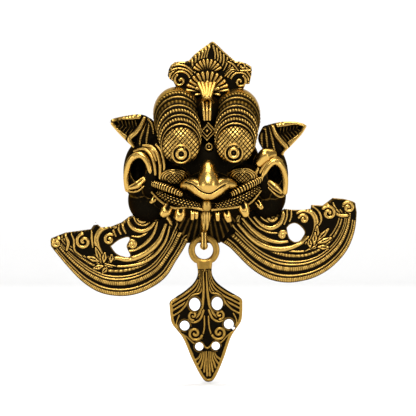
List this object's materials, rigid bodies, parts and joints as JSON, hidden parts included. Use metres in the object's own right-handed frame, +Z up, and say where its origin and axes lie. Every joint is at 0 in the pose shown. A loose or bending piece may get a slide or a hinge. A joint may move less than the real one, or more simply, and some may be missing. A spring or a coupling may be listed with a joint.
{
  "type": "kirtimukha mask",
  "caption": "Cast brass kirtimukha wall mask with crown, side wings, a chin hook and a pierced leaf pendant.",
  "frame": {"origin": "middle of the hanging bar's flat back, in the plane of the wall", "axes": "+Z up, +Y into the wall, so the face looks along -Y, and +X to the viewer's right"},
  "size_m": [0.2041, 0.0486, 0.2262],
  "materials": {
    "cast_brass": "antiqued, blackened recesses and polished ridges",
    "hook_brass": "antiqued, polished high spots",
    "pendant_brass": "antiqued, blackened recesses and polished ridges"
  },
  "bodies": {
    "root": {"mask": "cast_brass", "chin_hook": "hook_brass", "leaf_pendant": "pendant_brass"}
  },
  "joints": []
}
